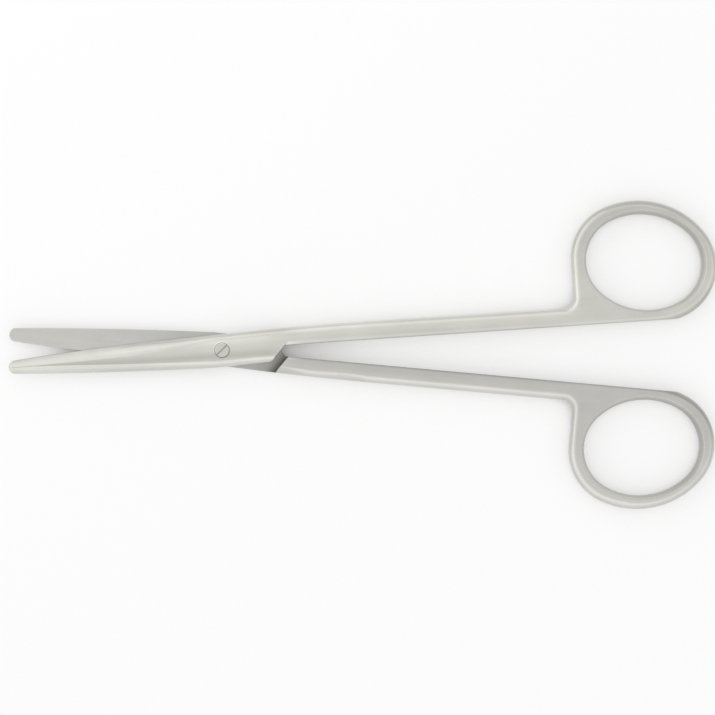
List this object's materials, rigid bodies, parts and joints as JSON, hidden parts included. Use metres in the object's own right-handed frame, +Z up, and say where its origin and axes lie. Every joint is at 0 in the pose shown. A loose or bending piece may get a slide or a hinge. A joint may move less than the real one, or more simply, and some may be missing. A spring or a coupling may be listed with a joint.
{
  "type": "dissecting scissors",
  "caption": "Straight blunt-tipped dissecting scissors with a screwed lap joint, slender shanks and oval finger rings, lying slightly open.",
  "frame": {"origin": "pivot axis at the underside of the joint, where the pair rests", "axes": "+Z up along the pivot axis, +X along the closed shanks towards the finger rings, -X towards the tips"},
  "size_m": [0.1443, 0.063, 0.0042],
  "materials": {
    "satin_steel": "satin",
    "screw_steel": "satin"
  },
  "bodies": {
    "bottom": {"bottom_half": "satin_steel", "joint_screw": "screw_steel"},
    "top": {"top_half": "satin_steel"}
  },
  "joints": [
    {"name": "pivot", "type": "hinge", "parent": "bottom", "child": "top", "pos_m": [0, 0, 0.0021], "axis": [0, 0, 1], "range_deg": [-9, 135]}
  ]
}
